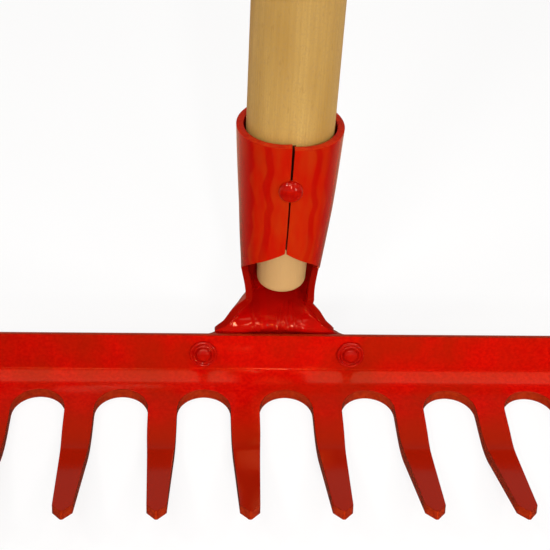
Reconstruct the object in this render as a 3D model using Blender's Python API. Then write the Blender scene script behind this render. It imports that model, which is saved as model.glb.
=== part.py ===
"""Garden rake: a pressed steel tine bar riveted to a rolled steel socket, on a turned handle.

The frame: +Z runs up the handle, +X along the tine bar, and the tines point to -Y. The origin lies on
the flat underside of the bar's web, below the middle of the socket, so the rake stands on Z = 0.
"""

import math

import bmesh
import bpy
import numpy as np
from mathutils import Matrix, Vector

# Handle, turned from one piece of wood
HANDLE_R = 0.0143
HANDLE_END_R = HANDLE_R * 0.60
HANDLE_LENGTH = 1.300
HANDLE_BOTTOM_Z = 0.0308
HANDLE_TAPER_TOP_Z = 0.0855
HANDLE_TAPER_LOW_Z = 0.0535
HANDLE_TOP_ROUND = 0.0100
AXIS_Y = 0.0230

# Tine bar, one blank of sheet steel, pressed out and bent twice
BAR_T = 0.0040
TINE_TIP_T = 0.0030
BAR_SHIFT_X = 0.0016
BAND_H = 0.0138
BAND_LEAN = math.radians(15.0)
CREASE_Y = 0.0024
CREASE_R = 0.0010
FILLET_FROM_Y = -0.0056
FILLET_R = 0.0230
TINES = 14
PITCH = 0.02845
ARCH_TOP = 0.0085
TINE_ROOT_W = 0.0100
TINE_BEND_W = 0.0086
TINE_TIP_W = 0.0062
TINE_POINT = 0.0037
TINE_BEND_AT = 0.0347
TINE_RISE = math.radians(19.6)
TINE_BEND_R = 0.0250
TINE_LOWER = 0.0412
BAR_CORNER_R = 0.0040

# Socket, one blank of sheet steel, rolled around the handle and flared out behind the bar
WALL = 0.0023
SOCKET_TOP_Z = 0.0946
RIM_RISE = 0.0024
SOCKET_TOP_R = HANDLE_R + WALL + 0.0009
SOCKET_LOW_R = SOCKET_TOP_R * 0.786
SOCKET_BELLY = 0.0003
NECK_TOP_Z = 0.0358
SEAM_END_Z = 0.0539
SEAM_GAP = 0.0009
MOUTH_SHOULDER_Z = 0.0467
MOUTH_SHOULDER = math.radians(140.0)
NECK_FLOOR_Z = 0.0240
NECK_BACK_R = 0.0085
NECK_LIP = 0.0064
NECK_LIP_R = 0.0042
NECK_SAG = 0.0042
FLANGE_H = BAND_H - 0.0006
FLANGE_EAR = 0.0045
FLANGE_CORNER = 0.0035
SHEETS_GAP = 0.0003
CONE_SHIFT_X = -0.0005
CONE_SHIFT_FROM_Z = 0.0640
FLARE_SHIFT_X = -0.0019
FLANGE_SHIFT_X = -0.0012

# Rivets
BAR_RIVET_X = 0.0260
BAR_RIVET_UP = 0.0078
BAR_RIVET_R = 0.0025
BAR_HEAD_R = 0.00490
BAR_HEAD_H = 0.0011
BAR_DOME_R = 0.0031
BAR_DOME_H = 0.0011
BAR_TAIL_R = 0.0037
BAR_TAIL_H = 0.0019
SEAM_RIVET_Z = 0.0809
SEAM_RIVET_R = 0.0022
SEAM_HEAD_R = 0.00390
SEAM_HEAD_H = 0.0026
PLAY = 0.0003

for old in list(bpy.data.objects):
    bpy.data.objects.remove(old, do_unlink=True)


def material(name, colour, roughness, metallic):
    mat = bpy.data.materials.new(name)
    mat.use_nodes = True
    bsdf = mat.node_tree.nodes["Principled BSDF"]
    bsdf.inputs["Base Color"].default_value = (*colour, 1.0)
    bsdf.inputs["Roughness"].default_value = roughness
    bsdf.inputs["Metallic"].default_value = metallic
    return mat


def mesh_object(name, verts, faces, mat):
    mesh = bpy.data.meshes.new(name)
    mesh.from_pydata([tuple(v) for v in verts], [], faces)
    obj = bpy.data.objects.new(name, mesh)
    bpy.context.scene.collection.objects.link(obj)
    if mat:
        mesh.materials.append(mat)
    return obj


def smooth(obj, degrees=35.0):
    obj.data.shade_smooth()
    obj.data.set_sharp_from_angle(angle=math.radians(degrees))


def turned(name, profile, axis, base, mat, sides=40):
    """A solid turned from (radius, height) points, lowest first, around the line from base along axis."""
    bm = bmesh.new()
    verts = [bm.verts.new((r, 0.0, h)) for r, h in profile]
    edges = [bm.edges.new(pair) for pair in zip(verts, verts[1:])]
    bmesh.ops.spin(bm, geom=verts + edges, cent=(0, 0, 0), axis=(0, 0, 1), angle=2 * math.pi, steps=sides)
    bmesh.ops.remove_doubles(bm, verts=bm.verts, dist=1e-6)
    bmesh.ops.recalc_face_normals(bm, faces=bm.faces)
    turn = Vector((0, 0, 1)).rotation_difference(Vector(axis)).to_matrix().to_4x4()
    bm.transform(Matrix.Translation(base) @ turn)
    mesh = bpy.data.meshes.new(name)
    bm.to_mesh(mesh)
    bm.free()
    obj = bpy.data.objects.new(name, mesh)
    bpy.context.scene.collection.objects.link(obj)
    if mat:
        mesh.materials.append(mat)
    smooth(obj)
    return obj


def cutter(name, radius, start, end, sides=28):
    """A hidden cylinder between two points that a Boolean takes out of a piece."""
    way = Vector(end) - Vector(start)
    profile = [(0, 0), (radius, 0), (radius, way.length), (0, way.length)]
    obj = turned(name, profile, way, start, None, sides)
    obj.hide_render = True
    obj.display_type = "WIRE"
    return obj


def cut(obj, tool, operation="DIFFERENCE"):
    mod = obj.modifiers.new(tool.name, "BOOLEAN")
    mod.operation = operation
    mod.solver = "EXACT"
    mod.object = tool


def thicken(obj, thickness):
    mod = obj.modifiers.new("Sheet", "SOLIDIFY")
    mod.thickness = thickness
    mod.offset = 0.0
    mod.use_even_offset = True
    mod.use_quality_normals = True


def along(points, distances):
    """The points at the given distances along a polyline."""
    points = np.array(points, float)
    run = np.concatenate([[0.0], np.cumsum(np.linalg.norm(np.diff(points, axis=0), axis=1))])
    return np.stack([np.interp(distances, run, points[:, k]) for k in range(points.shape[1])], axis=1)


def rounded_path(corners, radii, steps=10):
    """A flat path through the corners, each inner corner rounded to its radius."""
    path = [np.array(corners[0], float)]
    for i, radius in enumerate(radii, start=1):
        p = np.array(corners[i], float)
        a = np.array(corners[i - 1], float) - p
        b = np.array(corners[i + 1], float) - p
        a /= np.linalg.norm(a)
        b /= np.linalg.norm(b)
        half = math.acos(np.clip(a @ b, -1, 1)) / 2
        reach = radius / math.tan(half)
        centre = p + (a + b) / np.linalg.norm(a + b) * radius / math.sin(half)
        start = p + a * reach - centre
        end = p + b * reach - centre
        turn = math.atan2(start[0] * end[1] - start[1] * end[0], start @ end)
        for k in range(steps + 1):
            t = turn * k / steps
            c, s = math.cos(t), math.sin(t)
            path.append(centre + np.array([start[0] * c - start[1] * s, start[0] * s + start[1] * c]))
    path.append(np.array(corners[-1], float))
    return np.array(path)


red_bar = material("red_enamel_bar", (0.62, 0.012, 0.006), 0.25, 0.0)
red_socket = material("red_enamel_socket", (0.62, 0.012, 0.006), 0.22, 0.0)
red_rivet = material("red_enamel_rivet", (0.58, 0.010, 0.006), 0.25, 0.0)
wood = material("pale_wood", (0.62, 0.38, 0.16), 0.55, 0.0)

# The bar's cross-section in the YZ plane: the band leans back from the crease, and the web lies on Z = 0
band_up = np.array([math.sin(BAND_LEAN), math.cos(BAND_LEAN)])
band_front = np.array([-math.cos(BAND_LEAN), math.sin(BAND_LEAN)])
crease = np.array([CREASE_Y, BAR_T])
band_top = crease + BAND_H * band_up
fold = math.pi / 2 - BAND_LEAN
crease_tangent = CREASE_R * math.tan(fold / 2)
bend_tangent = TINE_BEND_R * math.tan(TINE_RISE / 2)
bar_bends = [
    (BAND_H - crease_tangent, CREASE_R + BAR_T / 2, fold, 8),
    (TINE_BEND_AT - crease_tangent - bend_tangent, TINE_BEND_R + BAR_T / 2, TINE_RISE, 5),
]


def fillet_rise(y):
    """How far the web's upper face has risen at y: a wide hollow that meets the band in a crease."""
    return FILLET_R - math.sqrt(FILLET_R**2 - max(y - FILLET_FROM_Y, 0.0) ** 2)


crease_up = 0.0
for _ in range(20):
    crease_up = fillet_rise(CREASE_Y + crease_up * band_up[0]) / band_up[1]


def bar_section(s):
    """The middle of the sheet at a distance s down the blank, and the way that its upper face looks."""
    here = band_top - band_front * BAR_T / 2
    heading = fold
    for straight, radius, angle, _ in bar_bends:
        step = min(s, straight)
        here = here + step * np.array([-math.cos(heading), -math.sin(heading)])
        s -= step
        upper = np.array([-math.sin(heading), math.cos(heading)])
        if s <= 0:
            return here, upper
        turn = min(s / radius, angle)
        before = upper
        heading -= turn
        upper = np.array([-math.sin(heading), math.cos(heading)])
        here = here + radius * (before - upper)
        s -= turn * radius
        if s <= 1e-12:
            return here, upper
    return here + s * np.array([-math.cos(heading), -math.sin(heading)]), upper


web_start = bar_bends[0][0] + bar_bends[0][1] * fold
arch_top_s = web_start + ARCH_TOP - crease_tangent
bend_start = web_start + bar_bends[1][0]
bend_end = bend_start + bar_bends[1][1] * TINE_RISE
tip_s = bend_end + TINE_LOWER - bend_tangent
shoulder_s = tip_s - TINE_POINT
arch_r = (PITCH - TINE_ROOT_W) / 2
spring_s = arch_top_s + arch_r
half_bar = (TINES - 1) / 2 * PITCH + TINE_ROOT_W / 2


def tine_side():
    """Half-widths down one side of a tine, from where the arches spring to its point."""
    side = [(TINE_ROOT_W / 2, spring_s), (TINE_ROOT_W / 2 * 0.98, bend_start - 0.003)]
    side.append((TINE_BEND_W / 2, bend_end + 0.0025))
    side += [(TINE_TIP_W / 2, shoulder_s), (TINE_TIP_W * 0.07, tip_s - 0.0002)]
    return side


def blank_outline():
    """The flat blank's outline, x along the bar and s down from the band's top edge."""
    out = []
    for sign in (1, -1):
        centre = (sign * (half_bar - BAR_CORNER_R), BAR_CORNER_R)
        turns = [math.radians(15 * k) for k in range(7)]
        arc = []
        for t in turns:
            outward = sign * BAR_CORNER_R * math.cos(t)
            arc.append((centre[0] + outward, centre[1] - BAR_CORNER_R * math.sin(t)))
        out += arc if sign == 1 else arc[::-1]
    for k in range(TINES):
        middle = (k - (TINES - 1) / 2) * PITCH
        side = tine_side()
        out += [(middle - w, s) for w, s in side]
        out += [(middle + w, s) for w, s in side[::-1]]
        if k < TINES - 1:
            centre = middle + PITCH / 2
            for j in range(1, 20):
                t = math.pi * j / 20
                out.append((centre - arch_r * math.cos(t), spring_s - arch_r * math.sin(t)))
    return out


def tine_bar():
    bm = bmesh.new()
    ring = [bm.verts.new((x, s, 0.0)) for x, s in blank_outline()]
    face = bm.faces.new(ring)
    bmesh.ops.triangulate(bm, faces=[face], ngon_method="EAR_CLIP")
    cuts = [BAND_H - crease_up]
    start = 0.0
    for straight, radius, angle, steps in bar_bends:
        start += straight
        cuts += [start + angle * radius * k / steps for k in range(steps + 1)]
        start += angle * radius
    crease_s = web_start + CREASE_Y - crease_tangent
    cuts += [crease_s - y for y in np.linspace(FILLET_FROM_Y, CREASE_Y, 7)[:-1]]
    for s in cuts:
        geom = bm.verts[:] + bm.edges[:] + bm.faces[:]
        bmesh.ops.bisect_plane(bm, geom=geom, dist=1e-7, plane_co=(0, s, 0), plane_no=(0, 1, 0))
    bmesh.ops.triangulate(bm, faces=bm.faces[:])
    bm.verts.index_update()
    wide = len(bm.verts)
    lower = []
    upper = []
    for v in bm.verts:
        thin = min(max((v.co.y - bend_end) / (shoulder_s - bend_end), 0.0), 1.0)
        half = (BAR_T + (TINE_TIP_T - BAR_T) * thin) / 2
        middle, outward = bar_section(v.co.y)
        y, z = middle - outward * half
        lower.append((v.co.x + BAR_SHIFT_X, y, z))
        y, z = middle + outward * half
        if y > FILLET_FROM_Y and v.co.y > BAND_H - crease_up - 1e-6:
            z = max(z, BAR_T + fillet_rise(y))
        upper.append((v.co.x + BAR_SHIFT_X, y, z))
    faces = []
    for face in bm.faces:
        ids = [v.index for v in face.verts]
        faces.append(ids)
        faces.append([i + wide for i in ids[::-1]])
    for edge in bm.edges:
        if edge.is_boundary:
            a, b = edge.verts[0].index, edge.verts[1].index
            faces.append([a, b, b + wide, a + wide])
    bm.free()
    obj = mesh_object("tine_bar", lower + upper, faces, red_bar)
    bm = bmesh.new()
    bm.from_mesh(obj.data)
    bmesh.ops.recalc_face_normals(bm, faces=bm.faces)
    bm.to_mesh(obj.data)
    bm.free()
    return obj


bar = tine_bar()

# The socket's sheet, in rows of points from side to side, from the rim down to the flange's foot
top_mid_r = SOCKET_TOP_R - WALL / 2
low_mid_r = SOCKET_LOW_R - WALL / 2
flange_top = band_top - band_front * (BAR_T + SHEETS_GAP + WALL / 2)


def socket_r(z):
    """The cone's radius at height z, to the middle of its sheet."""
    part = (z - NECK_TOP_Z) / (SOCKET_TOP_Z - NECK_TOP_Z)
    return low_mid_r + (top_mid_r - low_mid_r) * part + SOCKET_BELLY * math.sin(math.pi * part)


def cone_shift(z):
    """How far the cone's middle has gone sideways at height z."""
    return CONE_SHIFT_X * min(max((CONE_SHIFT_FROM_Z - z) / (CONE_SHIFT_FROM_Z - NECK_TOP_Z), 0.0), 1.0)


def mouth_angle(z):
    """How far round from the back the sheet reaches at height z: right round, but half at the neck."""
    seam = math.pi - SEAM_GAP / 2 / socket_r(z)
    if z >= SEAM_END_Z:
        return seam
    heights = [NECK_TOP_Z, MOUTH_SHOULDER_Z, SEAM_END_Z]
    return float(np.interp(z, heights, [math.pi / 2, MOUTH_SHOULDER, seam]))


def flange_half(s):
    """The flange's half-width at a distance s down from the band's top edge: a flare, then ears."""
    rivet_s = BAND_H - BAR_RIVET_UP
    joins_s = rivet_s - 0.8 * FLANGE_EAR
    if s < joins_s:
        neck_half = NECK_FLARE * low_mid_r
        ease = (s + 0.001) / (joins_s + 0.001)
        return neck_half + (BAR_RIVET_X + 0.6 * FLANGE_EAR - neck_half) * ease**1.7
    if s < rivet_s:
        return BAR_RIVET_X + math.sqrt(FLANGE_EAR**2 - (rivet_s - s) ** 2)
    into = max(s - (FLANGE_H - FLANGE_CORNER), 0.0)
    return BAR_RIVET_X + FLANGE_EAR - FLANGE_CORNER + math.sqrt(FLANGE_CORNER**2 - into**2)


# The neck's outline: half-width in shares of the cone's lower radius, by shares of the neck's height
NECK_SHAPE = [(0.04, 1.54), (0.145, 1.40), (0.25, 1.28), (0.35, 1.16), (0.43, 1.02), (0.5, 0.91)]
NECK_SHAPE += [(0.58, 0.865), (0.66, 0.87), (0.75, 0.89), (0.85, 0.93), (1.0, 1.0)]
NECK_FLARE = NECK_SHAPE[0][1]
# The real neck isn't quite in the middle: its sideways shift, by the same shares
NECK_SHIFT = [(0.04, FLANGE_SHIFT_X), (0.12, FLARE_SHIFT_X), (0.45, FLARE_SHIFT_X), (0.58, CONE_SHIFT_X)]
NECK_SHIFT += [(1.0, CONE_SHIFT_X)]


def eased(x, points):
    """A smooth curve through (x, y) points that keeps between its neighbours."""
    xs = np.array([p[0] for p in points], float)
    ys = np.array([p[1] for p in points], float)
    slopes = np.diff(ys) / np.diff(xs)
    tangents = np.zeros(len(xs))
    for i in range(1, len(xs) - 1):
        if slopes[i - 1] * slopes[i] > 0:
            tangents[i] = 2 * slopes[i - 1] * slopes[i] / (slopes[i - 1] + slopes[i])
    tangents[0], tangents[-1] = slopes[0], slopes[-1]
    x = min(max(x, xs[0]), xs[-1])
    i = min(int(np.searchsorted(xs, x, side="right")) - 1, len(xs) - 2)
    h = xs[i + 1] - xs[i]
    t = (x - xs[i]) / h
    low = (2 * t**3 - 3 * t**2 + 1) * ys[i] + (t**3 - 2 * t**2 + t) * h * tangents[i]
    return low + (3 * t**2 - 2 * t**3) * ys[i + 1] + (t**3 - t**2) * h * tangents[i + 1]


def socket():
    columns = 25
    fan = np.linspace(-1, 1, 2 * columns - 1)
    rows = []
    above = list(np.linspace(SOCKET_TOP_Z, SEAM_END_Z, 6))
    for z in above + list(np.linspace(SEAM_END_Z, NECK_TOP_Z, 8))[1:]:
        r, reach = socket_r(z), mouth_angle(z)
        lift = RIM_RISE * max(z - SEAM_END_Z, 0.0) / (SOCKET_TOP_Z - SEAM_END_Z)
        aside = cone_shift(z)
        turns = [reach * u for u in fan]
        rows.append([
            (aside + r * math.sin(t), AXIS_Y + r * math.cos(t), z + lift * (t / reach) ** 2) for t in turns
        ])
    start = np.array([AXIS_Y + low_mid_r, NECK_TOP_Z])
    back = np.array([AXIS_Y + low_mid_r * 0.95, NECK_FLOOR_Z])
    lip = flange_top + band_up * NECK_LIP
    end = flange_top + band_up * 0.001
    spine = rounded_path([start, back, lip, end], [NECK_BACK_R, NECK_LIP_R])
    length = float(np.sum(np.linalg.norm(np.diff(spine, axis=0), axis=1)))
    edge_start = np.array([AXIS_Y, NECK_TOP_Z]) - flange_top
    edge_up, edge_back = float(edge_start @ band_up), float(edge_start @ -band_front)
    start_up = float((start - flange_top) @ band_up)
    ups = (spine - flange_top) @ band_up
    backs = (spine - flange_top) @ -band_front
    for centre in along(spine, np.linspace(0, 1, 23)[1:] * length):
        up = float((centre - flange_top) @ band_up)
        upper = min(max((up - NECK_LIP * 2) / (start_up - NECK_LIP * 2), 0.0), 1.0)
        side_up = up - (start_up - edge_up) * upper
        side_back = edge_back * upper
        half = low_mid_r * eased(side_up / edge_up, NECK_SHAPE)
        aside = eased(side_up / edge_up, NECK_SHIFT)
        quarter = []
        for t in np.linspace(0, math.pi / 2, 31):
            over = 1 - math.cos(t)
            lower = up + NECK_SAG * (1 - upper) * math.sin(t) ** 2
            centre_back = float(np.interp(lower, ups[::-1], backs[::-1]))
            back = side_back + (centre_back - side_back) * math.cos(t)
            y, z = flange_top + band_up * (up + (side_up - up) * over) - band_front * back
            quarter.append((half * math.sin(t), y, z))
        girth = float(np.sum(np.linalg.norm(np.diff(np.array(quarter), axis=0), axis=1)))
        spread = along(quarter, np.abs(fan) * girth)
        rows.append([(aside + math.copysign(x, u), y, z) for u, (x, y, z) in zip(fan, spread)])
    downs = [(FLANGE_H - FLANGE_CORNER) * share for share in (0.02, 0.11, 0.21, 0.32, 0.42, 0.57, 0.78)]
    downs += [FLANGE_H - FLANGE_CORNER * share for share in (1.0, 0.57, 0.28, 0.11, 0.0)]
    for s in downs:
        y, z = flange_top - band_up * s
        half = flange_half(s)
        rows.append([(FLANGE_SHIFT_X + half * u, y, z) for u in fan])
    wide = len(fan)
    verts = [p for row in rows for p in row]
    faces = []
    for i in range(len(rows) - 1):
        for j in range(wide - 1):
            a = i * wide + j
            faces.append((a, a + wide, a + wide + 1, a + 1))
    obj = mesh_object("socket", verts, faces, red_socket)
    thicken(obj, WALL)
    return obj


sleeve = socket()

# The handle, round, tapered inside the socket and rounded off at the grip end
top_z = HANDLE_BOTTOM_Z + HANDLE_LENGTH
profile = [(0.0, HANDLE_BOTTOM_Z), (HANDLE_END_R - 0.0016, HANDLE_BOTTOM_Z)]
profile += [(HANDLE_END_R - 0.0005, HANDLE_BOTTOM_Z + 0.0005), (HANDLE_END_R, HANDLE_BOTTOM_Z + 0.0016)]
profile += [(HANDLE_END_R + 0.0006, HANDLE_TAPER_LOW_Z), (HANDLE_R, HANDLE_TAPER_TOP_Z)]
for k in range(7):
    t = math.radians(90 * k / 6)
    inward = HANDLE_TOP_ROUND * (1 - math.cos(t))
    downward = HANDLE_TOP_ROUND * (1 - math.sin(t))
    profile.append((HANDLE_R - inward, top_z - downward))
profile.append((0.0, top_z))
handle = turned("handle", profile, (0, 0, 1), (0, AXIS_Y, 0), wood, sides=48)

# The two rivets that hold the bar to the flange, heads on the bar's front
rivet_centre = crease + BAR_RIVET_UP * band_up
front = Vector((0, band_front[0], band_front[1]))
stack = BAR_T + SHEETS_GAP + WALL
for name, x in (("bar_rivet_left", -BAR_RIVET_X), ("bar_rivet_right", BAR_RIVET_X)):
    base = Vector((x + FLANGE_SHIFT_X, rivet_centre[0], rivet_centre[1]))
    low = -stack - PLAY - BAR_TAIL_H
    shape = [(0.0, low), (BAR_TAIL_R * 0.45, low + 0.0001), (BAR_TAIL_R * 0.8, low + BAR_TAIL_H * 0.35)]
    shape += [(BAR_TAIL_R, low + BAR_TAIL_H * 0.75), (BAR_TAIL_R, -stack - PLAY)]
    shape += [(BAR_RIVET_R, -stack - PLAY)]
    shape += [(BAR_RIVET_R, PLAY), (BAR_HEAD_R, PLAY), (BAR_HEAD_R, PLAY + BAR_HEAD_H * 0.5)]
    shape += [(BAR_HEAD_R - 0.0007, PLAY + BAR_HEAD_H), (BAR_DOME_R + 0.0006, PLAY + BAR_HEAD_H)]
    shape += [(BAR_DOME_R + 0.0002, PLAY + BAR_HEAD_H * 0.75)]
    shape += [(BAR_DOME_R * 0.85, PLAY + BAR_HEAD_H + 0.0005)]
    shape += [(BAR_DOME_R * 0.45, PLAY + BAR_HEAD_H + 0.0009), (0.0, PLAY + BAR_HEAD_H + BAR_DOME_H)]
    turned(name, shape, front, base, red_rivet, sides=28)
    hole = cutter(name + "_hole", BAR_RIVET_R + PLAY, base - front * 0.012, base + front * 0.006)
    cut(bar, hole)
    cut(sleeve, hole)

# The rivet through the socket's seam and the handle
outer_r = socket_r(SEAM_RIVET_Z) + WALL / 2
reach = outer_r + SEAM_HEAD_H + PLAY
shape = [(0.0, -reach)]
for k in range(1, 7):
    t = math.radians(15 * k)
    shape.append((SEAM_HEAD_R * math.sin(t), -reach + SEAM_HEAD_H * (1 - math.cos(t))))
shape += [(SEAM_HEAD_R, -outer_r + 0.002), (SEAM_RIVET_R, -outer_r + 0.002)]
mirrored = [(r, -h) for r, h in shape[::-1]]
rivet_at = (0, AXIS_Y, SEAM_RIVET_Z)
seam_rivet = turned("handle_rivet", shape + mirrored, (0, 1, 0), rivet_at, red_rivet, sides=28)
grow = (SOCKET_TOP_R - SOCKET_LOW_R) / (SOCKET_TOP_Z - NECK_TOP_Z)
low_z, high_z = SEAM_RIVET_Z - 0.010, SEAM_RIVET_Z + 0.010
clear = PLAY + 0.0001
seat = [(0.0, low_z), (outer_r - grow * 0.010 + clear, low_z)]
seat += [(outer_r + grow * 0.010 + clear, high_z), (0.0, high_z)]
body = turned("rivet_seat", seat, (0, 0, 1), (0, AXIS_Y, 0), None, sides=72)
pin_start = (0, AXIS_Y - outer_r - 0.0015, SEAM_RIVET_Z)
pin_end = (0, AXIS_Y + outer_r + 0.0015, SEAM_RIVET_Z)
keep = cutter("rivet_shank", SEAM_RIVET_R, pin_start, pin_end)
body.hide_render = True
body.display_type = "WIRE"
cut(body, keep)
cut(seam_rivet, body)
reach += 0.004
seam_hole = cutter(
    "seam_rivet_hole",
    SEAM_RIVET_R + PLAY,
    (0, AXIS_Y - reach, SEAM_RIVET_Z),
    (0, AXIS_Y + reach, SEAM_RIVET_Z),
)
cut(sleeve, seam_hole)
cut(handle, seam_hole)
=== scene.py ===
import math

import bmesh
import bpy
import numpy as np
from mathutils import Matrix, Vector


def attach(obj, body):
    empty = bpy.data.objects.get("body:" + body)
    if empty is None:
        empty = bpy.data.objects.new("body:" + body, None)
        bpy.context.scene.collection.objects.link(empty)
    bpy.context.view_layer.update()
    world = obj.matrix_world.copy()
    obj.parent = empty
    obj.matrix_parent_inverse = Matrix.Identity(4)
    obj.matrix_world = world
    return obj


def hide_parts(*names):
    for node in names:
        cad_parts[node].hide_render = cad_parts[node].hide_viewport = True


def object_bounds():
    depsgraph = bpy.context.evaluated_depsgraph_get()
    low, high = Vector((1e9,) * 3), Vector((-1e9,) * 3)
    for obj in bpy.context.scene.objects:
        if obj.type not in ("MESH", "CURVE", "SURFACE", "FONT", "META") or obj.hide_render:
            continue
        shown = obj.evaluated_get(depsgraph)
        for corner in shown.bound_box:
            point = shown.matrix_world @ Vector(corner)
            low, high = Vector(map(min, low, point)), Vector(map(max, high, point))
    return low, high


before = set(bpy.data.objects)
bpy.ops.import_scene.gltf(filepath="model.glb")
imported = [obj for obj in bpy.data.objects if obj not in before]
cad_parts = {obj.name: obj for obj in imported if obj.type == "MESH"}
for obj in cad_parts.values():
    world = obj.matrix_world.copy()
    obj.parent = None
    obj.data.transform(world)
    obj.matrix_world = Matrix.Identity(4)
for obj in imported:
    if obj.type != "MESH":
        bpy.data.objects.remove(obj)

cad_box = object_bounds()

# Camera: it looks down on the head of the rake from the tine side, a little from the left and rolled,
# as in the photograph, which is 550 pixels square and cropped a little to one side, hence the small shift.
PHOTO_PIXELS = 550
FOCAL_PIXELS = 1200
CROP_PIXELS = 18.62
LOOK_DOWN = 39.65
LOOK_ASIDE = 3.40
ROLL = 2.71
CAMERA_PLACE = (-0.0281, -0.30355, 0.3033)
SENSOR_MM = 36
camera_data = bpy.data.cameras.new("camera")
camera = bpy.data.objects.new("camera", camera_data)
bpy.context.scene.collection.objects.link(camera)
camera.location = CAMERA_PLACE
camera.rotation_euler = (math.radians(90 - LOOK_DOWN), 0, math.radians(-LOOK_ASIDE))
camera.rotation_euler.rotate_axis("Z", math.radians(ROLL))
camera_data.sensor_width = SENSOR_MM
camera_data.lens = SENSOR_MM * FOCAL_PIXELS / PHOTO_PIXELS
camera_data.shift_x = CROP_PIXELS / PHOTO_PIXELS
camera_data.clip_start = 0.01
camera_data.clip_end = 50
bpy.context.scene.camera = camera

bpy.context.scene.view_settings.view_transform = "Standard"

# Floor: a plain white studio floor under the tine bar. To the camera it shines white further out, and near
# the object a part of it is only lit, so that the shadow stays on it. The gloss of the enamel sees it warm
# and dim in front of the bar and brighter behind.
FLOOR_R = 6
FLOOR_BELOW = 0.0002
FLOOR_COLOUR = (0.88, 0.88, 0.88, 1)
MIRRORED_COLOUR = (1, 0.62, 0.42, 1)
PURE_WHITE = (1, 1, 1, 1)


def ranged(tree, value, low, high, to_low=0.0, to_high=1.0, smooth=False):
    """A value brought from one range to another and held at its ends."""
    level = tree.nodes.new("ShaderNodeMapRange")
    if smooth:
        level.interpolation_type = "SMOOTHSTEP"
    level.inputs["From Min"].default_value = low
    level.inputs["From Max"].default_value = high
    level.inputs["To Min"].default_value = to_low
    level.inputs["To Max"].default_value = to_high
    tree.links.new(value, level.inputs["Value"])
    return level.outputs["Result"]


def worked(tree, operation, *terms):
    """The result of a Math node on sockets and plain numbers."""
    node = tree.nodes.new("ShaderNodeMath")
    node.operation = operation
    for term, socket in zip(terms, node.inputs):
        if isinstance(term, float):
            socket.default_value = term
        else:
            tree.links.new(term, socket)
    return node.outputs[0]


def along_axis(tree, axis, coordinates="Object"):
    """A place along one axis of the piece, in metres, or of the room."""
    place = tree.nodes.new("ShaderNodeTexCoord")
    parts = tree.nodes.new("ShaderNodeSeparateXYZ")
    tree.links.new(place.outputs[coordinates], parts.inputs[0])
    return parts.outputs[axis]


def either_shader(tree, fac, first, second):
    """Two shaders mixed by a factor."""
    mix = tree.nodes.new("ShaderNodeMixShader")
    for value, socket in zip((fac, first, second), mix.inputs):
        tree.links.new(value, socket)
    return mix.outputs[0]


bpy.ops.object.select_all(action="DESELECT")
floor_place = (0, 0, cad_box[0].z - FLOOR_BELOW)
bpy.ops.mesh.primitive_circle_add(vertices=96, radius=FLOOR_R, fill_type="NGON", location=floor_place)
floor = bpy.context.object
floor.name = "floor"
floor_paint = bpy.data.materials.new("floor_white")
floor_paint.use_nodes = True
tree = floor_paint.node_tree
tree.nodes.clear()
rays = tree.nodes.new("ShaderNodeLightPath")
lit = tree.nodes.new("ShaderNodeBsdfDiffuse")
lit.inputs["Color"].default_value = FLOOR_COLOUR
shining = tree.nodes.new("ShaderNodeEmission")
shining.inputs["Color"].default_value = PURE_WHITE
shining.inputs["Strength"].default_value = 1.0
coordinates = tree.nodes.new("ShaderNodeTexCoord")
distance = tree.nodes.new("ShaderNodeVectorMath")
distance.operation = "LENGTH"
tree.links.new(coordinates.outputs["Object"], distance.inputs[0])
shine = ranged(tree, distance.outputs["Value"], 0.5, 1.2, 0.82, 1.0)
share = worked(tree, "MULTIPLY", rays.outputs["Is Camera Ray"], shine)
seen = either_shader(tree, share, lit.outputs[0], shining.outputs[0])
dim = tree.nodes.new("ShaderNodeEmission")
dim.inputs["Color"].default_value = MIRRORED_COLOUR
tree.links.new(ranged(tree, along_axis(tree, "Y"), 0.02, 0.14, 0.06, 0.55), dim.inputs["Strength"])
floor_shader = either_shader(tree, rays.outputs["Is Glossy Ray"], seen, dim.outputs[0])
output = tree.nodes.new("ShaderNodeOutputMaterial")
tree.links.new(floor_shader, output.inputs["Surface"])
floor.data.materials.append(floor_paint)


# Lights: a wide soft box overhead and behind, whose image lies along the hollow of the bar; two in front
# that light the head but don't show in its gloss; small lamps for the glints; and a spot that lifts the
# middle of the head. The room is pale and warm, dimmer in the gloss, and plain white to the camera.
AIM = (0, 0, 0.05)
LOW_AIM = (0, 0, 0.02)


def aimed(name, data, place, target):
    """A lamp at its place, turned to its target."""
    lamp = bpy.data.objects.new(name, data)
    bpy.context.scene.collection.objects.link(lamp)
    lamp.location = place
    lamp.rotation_euler = (Vector(target) - Vector(place)).to_track_quat("-Z", "Y").to_euler()
    return lamp


def soft_box(name, place, target, width, height, watts):
    """A rectangular soft box, its width and height in metres."""
    data = bpy.data.lights.new(name, "AREA")
    data.shape = "RECTANGLE"
    data.size = width
    data.size_y = height
    data.energy = watts
    return aimed(name, data, place, target)


soft_box("overhead_box", (0, 0.56, 1.7), (0, 0.56, 0), 2.2, 0.82, 6.9)
for name, side in (("left_box", -1), ("right_box", 1)):
    front_box = soft_box(name, (side * 0.42, -0.95, 0.95), AIM, 0.34, 0.44, 2.3)
    front_box.visible_glossy = False
soft_box("tall_lamp", (0.075, -0.98, 0.72), LOW_AIM, 0.05, 0.34, 2.2)
soft_box("low_lamp", (0.72, -0.85, 0.34), LOW_AIM, 0.12, 0.12, 1.7)
soft_box("high_lamp_left", (-0.62, -0.22, 0.92), AIM, 0.20, 0.14, 2.2)
soft_box("streak_lamp", (-0.25, -0.45, 1.45), AIM, 0.08, 0.60, 2.0)
soft_box("high_lamp_right", (0.68, -0.17, 0.92), AIM, 0.12, 0.12, 1.5)
pool_data = bpy.data.lights.new("pool_lamp", "SPOT")
pool_data.energy = 20
pool_data.spot_size = math.radians(17)
pool_data.spot_blend = 1.0
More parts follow.
